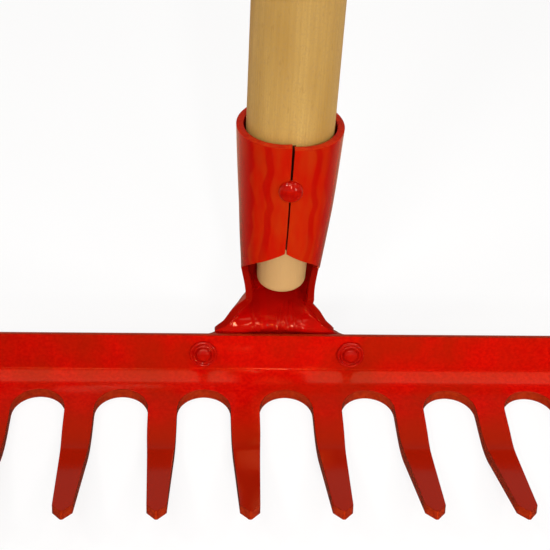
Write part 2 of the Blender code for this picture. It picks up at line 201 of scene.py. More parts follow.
pool_data.shadow_soft_size = 0.05
pool = aimed("pool_lamp", pool_data, (0.10, -0.97, 0.46), (0.028, 0, -0.012))
pool.visible_glossy = False

world = bpy.data.worlds.new("pale_room")
world.use_nodes = True
tree = world.node_tree
rays = tree.nodes.new("ShaderNodeLightPath")
room = tree.nodes["Background"]
room.inputs["Color"].default_value = (1.0, 0.90, 0.80, 1)
fill = tree.nodes.new("ShaderNodeMix")
fill.inputs["A"].default_value = 0.34
tree.links.new(rays.outputs["Is Glossy Ray"], fill.inputs["Factor"])
walls = ranged(tree, along_axis(tree, "Z", "Generated"), 0.05, 0.55, 0.23, 0.14, smooth=True)
tree.links.new(walls, fill.inputs["B"])
tree.links.new(fill.outputs["Result"], room.inputs["Strength"])
backdrop = tree.nodes.new("ShaderNodeBackground")
backdrop.inputs["Color"].default_value = PURE_WHITE
backdrop.inputs["Strength"].default_value = 1.0
seen = either_shader(tree, rays.outputs["Is Camera Ray"], room.outputs[0], backdrop.outputs[0])
tree.links.new(seen, tree.nodes["World Output"].inputs["Surface"])
bpy.context.scene.world = world


# Handle: one length of pale hardwood, turned round, tapered inside the socket and rounded at the grip
# end, lightly lacquered. Its cut end shows in the socket's mouth, a little paler, and a dark painted shade
# lies on the wood where the socket's seam leaves a gap over it.
HANDLE_R = 0.0143
HANDLE_END_R = 0.00858
HANDLE_AXIS_Y = 0.0230
HANDLE_BOTTOM = 0.0308
HANDLE_TOP = 1.3308
TAPER_LOW = 0.0535
TAPER_TOP = 0.0855
END_CORNER_R = 0.0022
GRIP_R = 0.010
SEAM_SHADE_HALF = 0.0009
SEAM_SHADE_LOW = 0.0510
SEAM_SHADE_TOP = 0.0966


def spun_piece(name, profile, steps):
    """A piece turned round the Z axis from (radius, height) points, lowest first."""
    bpy.ops.object.select_all(action="DESELECT")
    bpy.ops.mesh.primitive_plane_add(size=0.001)
    piece = bpy.context.object
    piece.name = name
    bpy.ops.object.mode_set(mode="EDIT")
    bpy.ops.mesh.select_all(action="SELECT")
    bpy.ops.mesh.merge(type="CENTER")
    bpy.ops.transform.translate(value=(profile[0][0], 0, profile[0][1]))
    for (r0, h0), (r1, h1) in zip(profile, profile[1:]):
        bpy.ops.mesh.extrude_vertices_move(TRANSFORM_OT_translate={"value": (r1 - r0, 0, h1 - h0)})
    bpy.ops.mesh.select_all(action="SELECT")
    bpy.ops.mesh.spin(steps=steps, angle=2 * math.pi, center=(0, 0, 0), axis=(0, 0, 1))
    bpy.ops.mesh.select_all(action="SELECT")
    bpy.ops.mesh.remove_doubles(threshold=1e-6)
    bpy.ops.mesh.normals_make_consistent(inside=False)
    bpy.ops.object.mode_set(mode="OBJECT")
    return piece


def rounded(corners, radius, steps):
    """The (radius, height) points with each inner corner cut to a small round."""
    out = [corners[0]]
    for a, b, c in zip(corners, corners[1:], corners[2:]):
        a, b, c = Vector(a), Vector(b), Vector(c)
        reach = min(radius, (a - b).length * 0.45, (c - b).length * 0.45)
        start = b + (a - b).normalized() * reach
        end = b + (c - b).normalized() * reach
        for k in range(steps + 1):
            t = k / steps
            out.append(tuple(start * (1 - t) ** 2 + b * 2 * t * (1 - t) + end * t**2))
    out.append(corners[-1])
    return out


end_face = [(0, HANDLE_BOTTOM), (HANDLE_END_R, HANDLE_BOTTOM)]
taper = [(HANDLE_END_R + 0.0006, TAPER_LOW), (HANDLE_R, TAPER_TOP), (HANDLE_R, 0.2)]
shaft = rounded(end_face + taper, END_CORNER_R, 6)
for degrees in range(90, -1, -9):
    a = math.radians(degrees)
    shaft.append((HANDLE_R - GRIP_R * (1 - math.sin(a)), HANDLE_TOP - GRIP_R * (1 - math.cos(a))))
handle = spun_piece("handle_turned", shaft + [(0, HANDLE_TOP)], 96)
handle.location = (0, HANDLE_AXIS_Y, 0)
bpy.ops.object.transform_apply(location=True)
bpy.ops.object.shade_smooth_by_angle(angle=math.radians(40))


def stretched_noise(tree, across, along, detail, low, high):
    """Noise drawn out along Z, its scale per metre across and along, cut to 0..1 between two levels."""
    place = tree.nodes.new("ShaderNodeTexCoord")
    turn = tree.nodes.new("ShaderNodeMapping")
    turn.inputs["Scale"].default_value = (across, across, along)
    tree.links.new(place.outputs["Object"], turn.inputs["Vector"])
    grain = tree.nodes.new("ShaderNodeTexNoise")
    grain.inputs["Scale"].default_value = 1.0
    grain.inputs["Detail"].default_value = detail
    tree.links.new(turn.outputs["Vector"], grain.inputs["Vector"])
    return ranged(tree, grain.outputs["Fac"], low, high)


def blended(tree, fac, first, second, strength=1.0):
    """Two colours or colour sockets mixed by a factor."""
    mix = tree.nodes.new("ShaderNodeMix")
    mix.data_type = "RGBA"
    if strength != 1.0:
        fac = worked(tree, "MULTIPLY", fac, strength)
    tree.links.new(fac, mix.inputs["Factor"])
    for value, socket in ((first, mix.inputs["A"]), (second, mix.inputs["B"])):
        if isinstance(value, tuple):
            socket.default_value = (*value, 1)
        else:
            tree.links.new(value, socket)
    return mix.outputs["Result"]


def bumped(tree, height, strength, depth, under=None):
    """A bump of a depth in metres, on top of another one if there is one."""
    bump = tree.nodes.new("ShaderNodeBump")
    bump.inputs["Strength"].default_value = strength
    bump.inputs["Distance"].default_value = depth
    tree.links.new(height, bump.inputs["Height"])
    if under:
        tree.links.new(under, bump.inputs["Normal"])
    return bump.outputs["Normal"]


wood = bpy.data.materials.new("pale_lacquered_wood")
wood.use_nodes = True
tree = wood.node_tree
shader = tree.nodes["Principled BSDF"]
shader.inputs["Roughness"].default_value = 0.48
shader.inputs["Specular IOR Level"].default_value = 0.35
bands = stretched_noise(tree, 95, 16, 4, 0.34, 0.66)
fibres = stretched_noise(tree, 1500, 26, 4, 0.38, 0.62)
dashes = stretched_noise(tree, 1500, 330, 2, 0.62, 0.70)
specks = stretched_noise(tree, 1700, 1100, 2, 0.48, 0.66)
colour = blended(tree, bands, (0.575, 0.358, 0.096), (0.465, 0.264, 0.054))
colour = blended(tree, fibres, colour, (0.40, 0.22, 0.045), 0.36)
colour = blended(tree, dashes, colour, (0.36, 0.19, 0.040), 0.45)
colour = blended(tree, specks, colour, (0.42, 0.255, 0.085), 0.5)
low_end = ranged(tree, along_axis(tree, "Z"), 0.060, 0.050)
colour = blended(tree, low_end, colour, (0.60, 0.390, 0.175), 0.62)
# Painted shade: a near-black stripe on the front of the wood, inside the socket, seen only through the
# seam's gap.
seam_shade_middle, seam_shade_reach = (SEAM_SHADE_TOP + SEAM_SHADE_LOW) / 2, (SEAM_SHADE_TOP - SEAM_SHADE_LOW) / 2
in_socket = worked(tree, "COMPARE", along_axis(tree, "Z"), seam_shade_middle, seam_shade_reach)
in_seam = worked(tree, "COMPARE", along_axis(tree, "X"), 0.0, SEAM_SHADE_HALF)
in_front = worked(tree, "LESS_THAN", along_axis(tree, "Y"), HANDLE_AXIS_Y)
painted_seam_shade = worked(tree, "MULTIPLY", worked(tree, "MULTIPLY", in_socket, in_seam), in_front)
colour = blended(tree, painted_seam_shade, colour, (0.030, 0.008, 0.003))
tree.links.new(colour, shader.inputs["Base Color"])
tree.links.new(bumped(tree, fibres, 0.25, 0.0002), shader.inputs["Normal"])
handle.data.materials.append(wood)
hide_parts("handle")
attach(handle, "root")


# Socket: one blank of sheet steel, rolled into a cone round the handle with a butt seam in front, cut
# away below as a V, then left open as a trough that turns forward and flattens into a flange behind
# the tine bar. Stove enamelled red, glossy, a little uneven as enamel on rolled sheet is, with painted shade
# down in the neck and painted reflections down the cone.
SOCKET_WALL = 0.0023
FIT_GAP = 0.0003
RIM_Z = 0.0946
NECK_Z = 0.0358
SEAM_END_Z = 0.0539
SHOULDER_Z = 0.0467
SHOULDER_TURN = math.radians(140)
TROUGH_BOTTOM_Z = 0.0240
TOP_MID_R = 0.01635
LOW_MID_R = 0.012605
CONE_BELLY = 0.0003
SEAM_GAPS = [(0.056, 0.00045), (0.074, 0.0005), (0.080, 0.0006), (RIM_Z, 0.0008)]
RIM_RISE_LEFT = 0.0029
RIM_RISE_RIGHT = 0.0022
WAVE = 0.00006
BAND_LEAN = math.radians(15.0)
BAND_H = 0.0138
BAR_SHEET = 0.0040
CREASE_Y = 0.0024
band_up = np.array([math.sin(BAND_LEAN), math.cos(BAND_LEAN)])
band_front = np.array([-math.cos(BAND_LEAN), math.sin(BAND_LEAN)])
band_top = np.array([CREASE_Y, BAR_SHEET]) + BAND_H * band_up
flange_top = band_top - band_front * (BAR_SHEET + FIT_GAP + SOCKET_WALL / 2)
FLANGE_H = BAND_H - 0.0006
FLANGE_CORNER_R = 0.0035
RIVET_X = 0.0260
RIVET_UP = 0.0078
EAR_R = 0.0045
CONE_ASIDE = -0.0005
CONE_ASIDE_BELOW_Z = 0.064
FLARE_ASIDE = -0.0019
FLANGE_ASIDE = -0.0012
NECK_BEND_R = 0.0085
NECK_LIP = 0.0046
LIP_R = 0.0036
FLANGE_STARTS = 0.0004
SIDES_LEAVE = 0.0128
LIP_OUT = 0.0014
LIP_OUT_UP = 0.0031
LIP_OUT_LONG = 0.0015
NECK_SAG = 0.0042
# Going up the neck: (share of its height, half-width as a share of the cone's lower radius)
NECK_HALVES = [
    (0.04, 1.68), (0.145, 1.42), (0.25, 1.28), (0.35, 1.16), (0.43, 1.02), (0.5, 0.91),
    (0.58, 0.865), (0.66, 0.87), (0.75, 0.89), (0.85, 0.93), (1.0, 1.0),
]
# Going up the neck: (share of its height, how far its middle stands aside)
NECK_ASIDES = [
    (0.02, FLANGE_ASIDE - 0.0009), (0.12, FLARE_ASIDE), (0.45, FLARE_ASIDE),
    (0.58, CONE_ASIDE), (1.0, CONE_ASIDE),
]
# Creases that the forming left across the lip: from (x, z), to (x, z), height and width of the ridge
CREASES = [
    (-0.0003, 0.0208, -0.0005, 0.0190, 0.00030, 0.0004),
    (0.0022, 0.0216, 0.0010, 0.0200, 0.00032, 0.0004),
    (0.0040, 0.0218, 0.0030, 0.0200, 0.00032, 0.0004),
    (-0.0056, 0.0194, -0.0086, 0.0176, 0.00034, 0.0005),
    (-0.0010, 0.0192, -0.0034, 0.0170, 0.00036, 0.0005),
    (0.0014, 0.0194, 0.0026, 0.0178, 0.00030, 0.0004),
    (-0.0166, 0.0176, -0.0088, 0.0196, 0.00050, 0.0022),
    (0.0046, 0.0190, 0.0076, 0.0186, 0.00035, 0.0009),
]
COLUMNS_ROUND = 193
SEAM_ROWS = 22
MOUTH_ROWS = 26
NECK_ROWS = 66
LIP_ROWS = 21


def eased(x, points):
    """A smooth curve through (x, y) points that keeps between its neighbours."""
    xs = np.array([p[0] for p in points], float)
    ys = np.array([p[1] for p in points], float)
    slopes = np.diff(ys) / np.diff(xs)
    tangents = np.zeros(len(xs))
    for i in range(1, len(xs) - 1):
        if slopes[i - 1] * slopes[i] > 0:
            tangents[i] = 2 * slopes[i - 1] * slopes[i] / (slopes[i - 1] + slopes[i])
    tangents[0], tangents[-1] = slopes[0], slopes[-1]
    x = min(max(x, xs[0]), xs[-1])
    i = min(int(np.searchsorted(xs, x, side="right")) - 1, len(xs) - 2)
    h = xs[i + 1] - xs[i]
    t = (x - xs[i]) / h
    low = (2 * t**3 - 3 * t**2 + 1) * ys[i] + (t**3 - 2 * t**2 + t) * h * tangents[i]
    return low + (3 * t**2 - 2 * t**3) * ys[i + 1] + (t**3 - t**2) * h * tangents[i + 1]


def points_along(points, distances):
    """The points at the given distances along a polyline."""
    points = np.array(points, float)
    run = np.concatenate([[0.0], np.cumsum(np.linalg.norm(np.diff(points, axis=0), axis=1))])
    return np.stack([np.interp(distances, run, points[:, k]) for k in range(points.shape[1])], axis=1)


def rounded_path(corners, radii, steps=24):
    """A flat path through the corners, each inner corner rounded to its radius."""
    path = [np.array(corners[0], float)]
    for i, radius in enumerate(radii, start=1):
        p = np.array(corners[i], float)
        a = np.array(corners[i - 1], float) - p
        b = np.array(corners[i + 1], float) - p
        a /= np.linalg.norm(a)
        b /= np.linalg.norm(b)
        half = math.acos(np.clip(a @ b, -1, 1)) / 2
        reach = radius / math.tan(half)
        centre = p + (a + b) / np.linalg.norm(a + b) * radius / math.sin(half)
        start = p + a * reach - centre
        end = p + b * reach - centre
        turn = math.atan2(start[0] * end[1] - start[1] * end[0], start @ end)
        for k in range(steps + 1):
            c, s = math.cos(turn * k / steps), math.sin(turn * k / steps)
            path.append(centre + np.array([start[0] * c - start[1] * s, start[0] * s + start[1] * c]))
    path.append(np.array(corners[-1], float))
    return np.array(path)


def length_of(path):
    """The length of a polyline."""
    return float(np.sum(np.linalg.norm(np.diff(np.array(path), axis=0), axis=1)))


def cone_r(z):
    """The cone's radius at height z, to the middle of its sheet."""
    part = (z - NECK_Z) / (RIM_Z - NECK_Z)
    return LOW_MID_R + (TOP_MID_R - LOW_MID_R) * part + CONE_BELLY * math.sin(math.pi * part)


def flange_half(s):
    """The flange's half-width at a distance s down from the band's top edge: a flare, then ears."""
    rivet_s = BAND_H - RIVET_UP
    joins_s = rivet_s - 0.8 * EAR_R
    if s < joins_s:
        neck_half = NECK_HALVES[0][1] * LOW_MID_R
        ear_half = RIVET_X + 0.6 * EAR_R
        return neck_half + (ear_half - neck_half) * ((s + 0.001) / (joins_s + 0.001)) ** 3
    if s < rivet_s:
        return RIVET_X + math.sqrt(EAR_R**2 - (rivet_s - s) ** 2)
    into = max(s - (FLANGE_H - FLANGE_CORNER_R), 0.0)
    return RIVET_X + EAR_R - FLANGE_CORNER_R + math.sqrt(FLANGE_CORNER_R**2 - into**2)


# The cone: rows round it from the rim down, closed above the V and open from there to the neck
fan = np.linspace(-1, 1, COLUMNS_ROUND)
sheet_rows = []
cone_heights = list(np.linspace(RIM_Z, SEAM_END_Z, SEAM_ROWS))
cone_heights += list(np.linspace(SEAM_END_Z, NECK_Z, MOUTH_ROWS))[1:]
for z in cone_heights:
    gap = float(np.interp(z, *zip(*SEAM_GAPS)))
    reach = math.pi - gap / 2 / cone_r(z)
    if z < SEAM_END_Z:
        mouth = [math.pi / 2, SHOULDER_TURN, reach]
        reach = float(np.interp(z, [NECK_Z, SHOULDER_Z, SEAM_END_Z], mouth))
    lift = max(z - SEAM_END_Z, 0.0) / (RIM_Z - SEAM_END_Z)
    aside = CONE_ASIDE * min(max((CONE_ASIDE_BELOW_Z - z) / (CONE_ASIDE_BELOW_Z - NECK_Z), 0.0), 1.0)
    row = []
    for u in fan:
        r = cone_r(z) + WAVE * math.sin(5 * u + 60 * z) * math.sin(95 * z + 3 * u)
        t = reach * u
        rise = lift * (RIM_RISE_LEFT if t < 0 else RIM_RISE_RIGHT) * u**2
        row.append((aside + r * math.sin(t), HANDLE_AXIS_Y + r * math.cos(t), z + rise))
    sheet_rows.append(row)

# The neck: half-ellipse rows along a spine that turns forward under the handle and down over the lip
start = np.array([HANDLE_AXIS_Y + LOW_MID_R, NECK_Z])
back = np.array([HANDLE_AXIS_Y + LOW_MID_R * 0.95, TROUGH_BOTTOM_Z])
corners = [start, back, flange_top + band_up * NECK_LIP, flange_top + band_up * FLANGE_STARTS]
spine = rounded_path(corners, [NECK_BEND_R, LIP_R])
edge_start = np.array([HANDLE_AXIS_Y, NECK_Z]) - flange_top
edge_up, edge_back = float(edge_start @ band_up), float(edge_start @ -band_front)
start_up = float((start - flange_top) @ band_up)
ups = (spine - flange_top) @ band_up
backs = (spine - flange_top) @ -band_front
for centre in points_along(spine, np.linspace(0, 1, NECK_ROWS + 1)[1:] * length_of(spine)):
    up = float((centre - flange_top) @ band_up)
    upper = min(max((up - SIDES_LEAVE) / (start_up - SIDES_LEAVE), 0.0), 1.0)
    side_up = up - (start_up - edge_up) * upper
    side_back = edge_back * upper
    half = LOW_MID_R * eased(side_up / edge_up, NECK_HALVES)
    aside = eased(side_up / edge_up, NECK_ASIDES)
    shallow = 1 + min(max((0.55 - side_up / edge_up) / 0.25, 0.0), 1.0)
    quarter = []
    for t in np.linspace(0, math.pi / 2, 49):
        over = 1 - math.cos(t)
        lower = up + NECK_SAG * (1 - upper) * math.sin(t) ** 2
        centre_back = float(np.interp(lower, ups[::-1], backs[::-1]))
        centre_back -= LIP_OUT * math.exp(-(((lower - LIP_OUT_UP) / LIP_OUT_LONG) ** 2))
        depth = side_back + (centre_back - side_back) * math.cos(t) ** shallow
        y, z = flange_top + band_up * (up + (side_up - up) * over) - band_front * depth
        quarter.append((half * math.sin(t), y, z))
    spread = points_along(quarter, np.abs(fan) * length_of(quarter))
    sheet_rows.append([(aside + math.copysign(x, u), y, z) for u, (x, y, z) in zip(fan, spread)])

# The flange: flat rows down behind the band, closer together where its lower corners are round
flange_rows = list(np.linspace(0.0002, 0.0100, 22))
flange_rows += list(FLANGE_H - 0.0032 * (1 - np.sin(np.radians([20, 40, 58, 74, 90]))))
for s in flange_rows:
    y, z = flange_top - band_up * s
    sheet_rows.append([(FLANGE_ASIDE + flange_half(s) * u, y, z) for u in fan])

# The creases raise the lip's rows along the sheet's own normals
grid = np.array(sheet_rows)
out = np.cross(np.gradient(grid, axis=1), np.gradient(grid, axis=0))
out /= np.linalg.norm(out, axis=2)[:, :, None]
out *= np.sign(-out[:, :, 1:2])
lip = slice(len(cone_heights) + NECK_ROWS - LIP_ROWS, len(cone_heights) + NECK_ROWS)
for x0, z0, x1, z1, height, width in CREASES:
    way = np.array([x1 - x0, z1 - z0])
    reach = np.hypot(*way)
    way /= reach
    offset = grid[lip][:, :, [0, 2]] - np.array([x0, z0])
    run = np.clip(offset @ way, 0, reach)
    away = np.linalg.norm(offset - run[:, :, None] * way, axis=2)
    ends = np.tanh(2.5 * np.sin(np.pi * np.clip(run / reach, 0.05, 0.95)))
    grid[lip] += out[lip] * (height * ends * np.exp(-((away / width) ** 2)))[:, :, None]

bpy.ops.object.select_all(action="DESELECT")
bpy.ops.mesh.primitive_grid_add(x_subdivisions=len(fan) - 1, y_subdivisions=len(grid) - 1, size=0.1)
socket = bpy.context.object
socket.name = "socket_enamelled"
for vertex in socket.data.vertices:
    row, column = divmod(vertex.index, len(fan))
    vertex.co = grid[row][column]
bpy.ops.object.mode_set(mode="EDIT")
bpy.ops.mesh.select_all(action="SELECT")
bpy.ops.mesh.normals_make_consistent(inside=False)
bpy.ops.object.mode_set(mode="OBJECT")


def enamel(name, deep, bright, roughness, mottle, stretch=1.0, coat=0.09, painted_end_shade=None, blotches=0.0):
    """Glossy red stove enamel: a mottled red with painted shade towards one end, and an orange peel skin."""
    paint = bpy.data.materials.new(name)
    paint.use_nodes = True
    tree = paint.node_tree
    shader = tree.nodes["Principled BSDF"]
    shader.inputs["Roughness"].default_value = roughness
    shader.inputs["Specular IOR Level"].default_value = 0.5
    shader.inputs["Specular Tint"].default_value = (1.0, 0.26, 0.02, 1)
    shader.inputs["Coat Weight"].default_value = coat
    shader.inputs["Coat Roughness"].default_value = 0.05
    colour = blended(tree, stretched_noise(tree, mottle, mottle * stretch, 3, 0.35, 0.65), deep, bright)
    if blotches:
        dull = stretched_noise(tree, 55, 40, 3, 0.42, 0.68)
        colour = blended(tree, dull, colour, (0.27, 0.010, 0.001), blotches)
    # Painted shade: the colour darkens towards one end of the piece.
    if painted_end_shade:
        axis, near, far, shaded = painted_end_shade
        painted_shade_share = ranged(tree, along_axis(tree, axis), near, far, smooth=True)
        colour = blended(tree, painted_shade_share, colour, shaded)
    tree.links.new(colour, shader.inputs["Base Color"])
    peel = bumped(tree, stretched_noise(tree, 900, 900, 2, 0.2, 0.8), 0.12, 0.00008)
    waves = bumped(tree, stretched_noise(tree, 90, 90, 1, 0.2, 0.8), 0.15, 0.0004, under=peel)
    tree.links.new(waves, shader.inputs["Normal"])
    return paint


# Painted shade: the enamel darkens down into the neck's trough, under the handle.
socket_paint = enamel(
    "red_enamel_on_socket", deep=(0.47, 0.007, 0.0008), bright=(0.45, 0.022, 0.002), roughness=0.09,
    mottle=260, stretch=0.25, coat=0.28, painted_end_shade=("Z", 0.040, 0.029, (0.36, 0.002, 0.0008)),
)
# Painted reflections: darker bands down the cone's front, as its gloss shows between lamps: (share of the
# way across, strength)
REFLECTION_BANDS = [
    (0.0, 0.2), (0.06, 0.9), (0.17, 1.0), (0.185, 0.1), (0.27, 0.0), (0.28, 0.8), (0.33, 0.9), (0.342, 0.0),
    (0.66, 0.0), (0.675, 0.8), (0.71, 0.9), (0.73, 0.1), (0.78, 0.2), (0.80, 1.0), (0.86, 1.0), (0.88, 0.3),
    (1.0, 0.8),
]
REFLECTION_LEFT_X = -0.0170
REFLECTION_RIGHT_X = 0.0210
REFLECTION_SWAY = 0.0034
tree = socket_paint.node_tree
shader = tree.nodes["Principled BSDF"]
plain = shader.inputs["Base Color"].links[0].from_socket
sway = worked(tree, "MULTIPLY", stretched_noise(tree, 20, 70, 1, 0.25, 0.75), REFLECTION_SWAY)
swayed_x = worked(tree, "ADD", sway, along_axis(tree, "X"))
reflection_bands = tree.nodes.new("ShaderNodeValToRGB")
reflection_bands.color_ramp.elements[1].position = 1.0
for position, strength in REFLECTION_BANDS[1:-1]:
    reflection_bands.color_ramp.elements.new(position)
for stop, (position, strength) in zip(reflection_bands.color_ramp.elements, REFLECTION_BANDS):
    stop.color = (strength, strength, strength, 1)
tree.links.new(ranged(tree, swayed_x, REFLECTION_LEFT_X, REFLECTION_RIGHT_X), reflection_bands.inputs["Fac"])
broken_reflections = worked(tree, "MULTIPLY", reflection_bands.outputs["Color"], stretched_noise(tree, 70, 28, 1, 0.25, 0.45))
tree.links.new(blended(tree, broken_reflections, plain, (0.41, 0.0012, 0.0005), 0.95), shader.inputs["Base Color"])
# Painted shade: the socket's cut edges darken down into the neck.
cut_paint = enamel(
    "red_enamel_on_socket_cuts_with_painted_shade", deep=(0.43, 0.007, 0.001), bright=(0.50, 0.020, 0.002),
    roughness=0.12, mottle=500, painted_end_shade=("Z", 0.062, 0.046, (0.24, 0.0012, 0.0004)),
)
CUT_PAINT = 1
socket.data.materials.append(socket_paint)
socket.data.materials.append(cut_paint)
sheet = socket.modifiers.new("sheet", "SOLIDIFY")
sheet.thickness = SOCKET_WALL
sheet.offset = 0.0
sheet.use_even_offset = True
sheet.use_quality_normals = True
sheet.material_offset_rim = CUT_PAINT
bpy.ops.object.modifier_apply(modifier="sheet")
edges = socket.modifiers.new("edges", "BEVEL")
edges.width = 0.0005
edges.segments = 3
edges.limit_method = "ANGLE"
edges.angle_limit = math.radians(50)
bpy.ops.object.modifier_apply(modifier="edges")
bpy.ops.object.shade_smooth_by_angle(angle=math.radians(50))
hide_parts("socket")
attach(socket, "root")

# Tine bar: one blank of 4 mm sheet steel, punched to fourteen tapered tines with pointed ends and round
# arches between them, hollowed up into a crease, folded there into the band, and bent once across the
# tines. Enamelled red as the socket is, browner on the punched sides and dark along the edges, with painted
# shade and reflection, darker and browner, towards the tines' ends.
TINES = 14
PITCH = 0.02845
BAR_ASIDE = 0.0016
ARCH_R = 0.009225
ARCH_APEX = -0.0061
ARCH_SPRING = ARCH_APEX - ARCH_R
ARCH_TURNS = (90, 84, 78, 72, 66, 60, 52, 44, 36, 28, 20, 10, 0)
BEND_START = -0.02798
BEND_R = 0.0250
BEND_TURN = math.radians(19.6)
bend_end = BEND_START - BEND_R * BEND_TURN
TINE_L = 0.03686
POINT_L = 0.0037
tip = bend_end - TINE_L
shoulder = tip + POINT_L
TIP_HALF = 0.0004
SHOULDER_HALF = 0.0031
# Going up a tine: (distance from the frame's origin, half-width)
TINE_HALVES = [
    (shoulder, SHOULDER_HALF), (bend_end - 0.0025, 0.0043),
    (BEND_START + 0.003, 0.0049), (ARCH_SPRING, 0.0050),
]
TINE_THINNER = 0.25
HOLLOW_START = -0.0056
HOLLOW_R = 0.0230
HOLLOW_TURN = math.radians(21.5)
CREASE_R = 0.0006
CREASE_UP = 0.001659
crease_turn = math.pi / 2 - BAND_LEAN - HOLLOW_TURN
crease_back = CREASE_R * math.tan(crease_turn / 2)
crease_low = HOLLOW_START + HOLLOW_R * HOLLOW_TURN - crease_back
crease_high = crease_low + CREASE_R * crease_turn
TOP_RISE = 0.0011
TOP_THIN_H = 0.0022
TOP_THINNER = 0.60
blank_top = crease_high + BAND_H + TOP_RISE - CREASE_UP - crease_back
END_TINE_HALF = 0.0050
HALF_BAR = (TINES - 1) / 2 * PITCH + END_TINE_HALF
END_CORNER = 0.0040

band_rows = [blank_top, blank_top - 0.0004, blank_top - 0.0009, blank_top - 0.0015]
band_rows += list(np.linspace(blank_top - TOP_THIN_H, crease_high, 8))
fold_rows = list(np.linspace(crease_high, crease_low, 6))
hollow_rows = list(np.linspace(crease_low, HOLLOW_START, 13))
arch_rows = [ARCH_SPRING + ARCH_R * math.sin(math.radians(turn)) for turn in ARCH_TURNS]
root_rows = list(np.linspace(ARCH_SPRING, BEND_START, 6))
bend_rows = list(np.linspace(BEND_START, bend_end, 9))
tine_rows = list(np.linspace(bend_end, shoulder, 12))
point_rows = list(np.linspace(shoulder, tip, 5))
stations = band_rows + fold_rows[1:] + hollow_rows[1:] + arch_rows
stations += root_rows[1:] + bend_rows[1:] + tine_rows[1:] + point_rows[1:]


def tine_half(y):
    """The half-width of one tine's strip of the blank at a distance y from the frame's origin."""
    if y > ARCH_APEX - 1e-7:
        return PITCH / 2
    if y > ARCH_SPRING:
        return PITCH / 2 - math.sqrt(max(ARCH_R**2 - (y - ARCH_SPRING) ** 2, 0.0))
    if y < shoulder:
        return TIP_HALF + (SHOULDER_HALF - TIP_HALF) * (y - tip) / (shoulder - tip)
    return eased(y, TINE_HALVES)


def pick(mesh, test):
    """In edit mode, selects the vertices that pass a test."""
    work = bmesh.from_edit_mesh(mesh)
    work.verts.ensure_lookup_table()
    for vertex in work.verts:
        vertex.select = bool(test(vertex))
    work.select_flush(True)
    bmesh.update_edit_mesh(mesh)
    return work


# One tine's strip of the blank, flat on the web's upper face, each row moved and widened in turn
TINE_COLUMNS = 13
bpy.ops.object.select_all(action="DESELECT")
bpy.ops.mesh.primitive_grid_add(
    x_subdivisions=TINE_COLUMNS - 1, y_subdivisions=len(stations) - 1, size=2, location=(0, 0, BAR_SHEET)
)
bpy.ops.object.transform_apply(location=True)
bar = bpy.context.object
bar.name = "tine_bar_enamelled"
flat_y = [vertex.co.y for vertex in bar.data.vertices]
levels = sorted(set(round(y, 6) for y in flat_y), reverse=True)
bpy.ops.object.mode_set(mode="EDIT")
for level, station in zip(levels, stations):
    pick(bar.data, lambda vertex: abs(flat_y[vertex.index] - level) < 1e-4)
    bpy.ops.transform.translate(value=(0, station - level, 0))
    bpy.ops.transform.resize(value=(tine_half(station), 1, 1), center_override=(0, 0, 0))
bpy.ops.object.mode_set(mode="OBJECT")

# Fourteen strips side by side, joined, cut to the bar's length and rounded at the band's ends
strips = [bar]
for k in range(1, TINES):
    bpy.ops.object.select_all(action="DESELECT")
    bar.select_set(True)
    bpy.context.view_layer.objects.active = bar
    bpy.ops.object.duplicate()
    strip = bpy.context.object
    strip.location.x = (k - (TINES - 1) / 2) * PITCH
    strips.append(strip)
bar.location.x = -(TINES - 1) / 2 * PITCH
for strip in strips:
    strip.select_set(True)
bpy.context.view_layer.objects.active = bar
bpy.ops.object.transform_apply(location=True)
bpy.ops.object.join()
bpy.ops.object.mode_set(mode="EDIT")
bpy.ops.mesh.select_all(action="SELECT")
bpy.ops.mesh.remove_doubles(threshold=1e-5)
for side in (1, -1):
    bpy.ops.mesh.select_all(action="SELECT")
    bpy.ops.mesh.bisect(plane_co=(side * (HALF_BAR - 0.0001), 0, 0), plane_no=(side, 0, 0), clear_outer=True)
bpy.ops.object.mode_set(mode="OBJECT")
for vertex in bar.data.vertices:
    out_x = abs(vertex.co.x) - (HALF_BAR - END_CORNER)
    out_y = vertex.co.y - (blank_top - END_CORNER)
    if out_x > 0 and out_y > 0:
        pull = max(out_x, out_y) / math.hypot(out_x, out_y)
        vertex.co.x -= math.copysign(out_x * (1 - pull), vertex.co.x)
        vertex.co.y -= out_y * (1 - pull)

# The sheet thins towards the tines' ends and in a round at the band's top edge
thin = bar.vertex_groups.new(name="thin")
flat_y = [vertex.co.y for vertex in bar.data.vertices]
for index, y in enumerate(flat_y):
    tine_part = min(max((bend_end - y) / (bend_end - shoulder), 0.0), 1.0)
    top_part = min(max((y - blank_top + TOP_THIN_H) / TOP_THIN_H, 0.0), 1.0)
    thin.add([index], 1 - TINE_THINNER * tine_part - TOP_THINNER * top_part**2, "REPLACE")


def bend_beyond(rows, turn, side):
    """Turns what lies beyond each row in turn, side +1 towards the band and side -1 towards the tips."""
    count = len(rows)
    for k, row in enumerate(rows):
        share = 0.5 if k in (0, count - 1) else 1.0
        work = pick(bar.data, lambda vertex: (flat_y[vertex.index] - row) * side > 1e-6)
        hinge = min(work.verts, key=lambda vertex: abs(flat_y[vertex.index] - row)).co.copy()
        angle = turn / (count - 1) * share
        bpy.ops.transform.rotate(value=-side * angle, orient_axis="X", center_override=(0, hinge.y, hinge.z))


crease_share = crease_back / (HOLLOW_R * HOLLOW_TURN)
bpy.ops.object.mode_set(mode="EDIT")
bend_beyond(bend_rows, BEND_TURN, -1)
bend_beyond(hollow_rows[::-1], HOLLOW_TURN * (1 - crease_share), 1)
bend_beyond(fold_rows[::-1], crease_turn + HOLLOW_TURN * crease_share, 1)
bpy.ops.object.mode_set(mode="OBJECT")

EDGE_PAINT = 1
SIDE_PAINT = 2
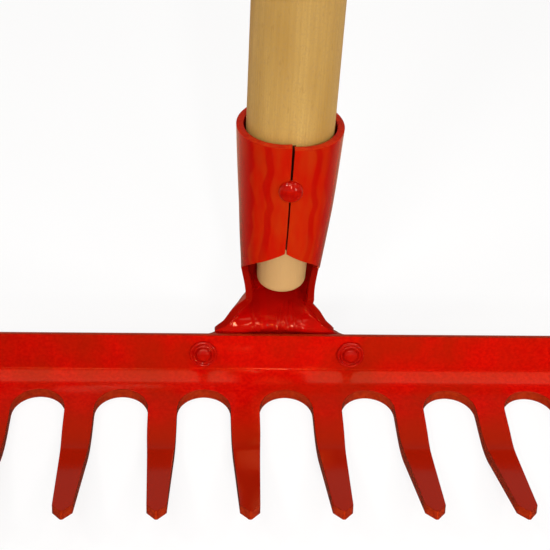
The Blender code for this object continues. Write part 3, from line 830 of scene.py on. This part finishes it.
# Painted shade and reflection: the enamel turns darker and browner towards the tines' ends.
bar.data.materials.append(enamel(
    "red_enamel_on_bar", deep=(0.42, 0.001, 0.0005), bright=(0.54, 0.004, 0.0008), roughness=0.13,
    mottle=900, coat=0.11, painted_end_shade=("Y", -0.012, -0.029, (0.33, 0.009, 0.001)), blotches=0.6,
))
bar.data.materials.append(enamel(
    "dark_red_enamel_on_bar_edges", deep=(0.08, 0.0015, 0.0005), bright=(0.14, 0.003, 0.0006),
    roughness=0.25, mottle=900, coat=0.0,
))
bar.data.materials.append(enamel(
    "brownish_red_enamel_on_bar_sides", deep=(0.26, 0.012, 0.002), bright=(0.34, 0.022, 0.003),
    roughness=0.16, mottle=700,
))
sheet = bar.modifiers.new("sheet", "SOLIDIFY")
sheet.thickness = BAR_SHEET
sheet.offset = -1.0
sheet.use_even_offset = True
sheet.use_quality_normals = True
sheet.vertex_group = "thin"
sheet.material_offset_rim = SIDE_PAINT
bpy.ops.object.modifier_apply(modifier="sheet")
edges = bar.modifiers.new("edges", "BEVEL")
edges.width = 0.0006
edges.segments = 3
edges.limit_method = "ANGLE"
edges.angle_limit = math.radians(50)
edges.material = EDGE_PAINT
bpy.ops.object.modifier_apply(modifier="edges")
bpy.ops.object.shade_smooth_by_angle(angle=math.radians(50))
bar.location.x = BAR_ASIDE
bpy.ops.object.transform_apply(location=True)
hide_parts("tine_bar")
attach(bar, "root")

# Bar rivets: two round steel rivets through band and flange, set behind the flange. Each head is a rim,
# a second ring and a low dome, one inside the other, the mark of the setting tool, and is enamelled over.
RIVET_ROUND = 0.00035
stack = BAR_SHEET + FIT_GAP + SOCKET_WALL + FIT_GAP
# (radius, height above the band's face) from the middle of the set tail to the middle of the head
rivet_profile = [
    (0, -stack - 0.0019), (0.0017, -stack - 0.0018), (0.0030, -stack - 0.0012), (0.0037, -stack - 0.0005),
    (0.0037, -stack), (0.0025, -stack), (0.0025, FIT_GAP), (0.0049, FIT_GAP), (0.0049, 0.0009),
    (0.0046, 0.0014), (0.0042, 0.0014), (0.0039, 0.0009), (0.0037, 0.0010), (0.0034, 0.0015),
    (0.0031, 0.0014), (0.0028, 0.0008), (0.0026, 0.0010), (0.0023, 0.0019), (0.0014, 0.0025), (0, 0.0026),
]
rivet_paint = enamel(
    "red_enamel_on_rivets", deep=(0.34, 0.0015, 0.0004), bright=(0.42, 0.004, 0.0007), roughness=0.08,
    mottle=500, coat=0.7,
)
front = Vector((0, *band_front))
seat = np.array([CREASE_Y, BAR_SHEET]) + band_up * RIVET_UP
for hand, x in (("left", -RIVET_X), ("right", RIVET_X)):
    rivet = spun_piece("bar_rivet_enamelled_" + hand, rounded(rivet_profile, RIVET_ROUND, 4), 64)
    rivet.rotation_euler = front.to_track_quat("Z", "Y").to_euler()
    rivet.location = (x + FLANGE_ASIDE, *seat)
    bpy.ops.object.transform_apply(location=True, rotation=True)
    bpy.ops.object.shade_smooth_by_angle(angle=math.radians(60))
    rivet.data.materials.append(rivet_paint)
    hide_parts("bar_rivet_" + hand)
    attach(rivet, "root")

# Handle rivet: a domed rivet on the socket's seam, through the handle and set behind the socket, with
# the same enamelled dome on both sides.
SEAM_RIVET_Z = 0.0809
DOME_R = 0.0039
DOME_H = 0.0026
DOME_OUT = 0.0029
SHANK_R = 0.0022
outside = cone_r(SEAM_RIVET_Z) + SOCKET_WALL / 2
dome = [(0, outside + DOME_OUT)]
for k in range(1, 13):
    a = math.radians(7.5 * k)
    dome.append((DOME_R * math.sin(a), outside + DOME_OUT - DOME_H * (1 - math.cos(a))))
dome += [(DOME_R, outside - 0.0002), (SHANK_R, outside - 0.0002)]
seam_rivet = spun_piece("handle_rivet_enamelled", [(r, -h) for r, h in dome] + dome[::-1], 64)
seam_rivet.rotation_euler = (math.radians(90), 0, 0)
seam_rivet.location = (0, HANDLE_AXIS_Y, SEAM_RIVET_Z)
bpy.ops.object.transform_apply(location=True, rotation=True)
bpy.ops.object.shade_smooth_by_angle(angle=math.radians(60))
seam_rivet.data.materials.append(rivet_paint)
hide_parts("handle_rivet")
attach(seam_rivet, "root")
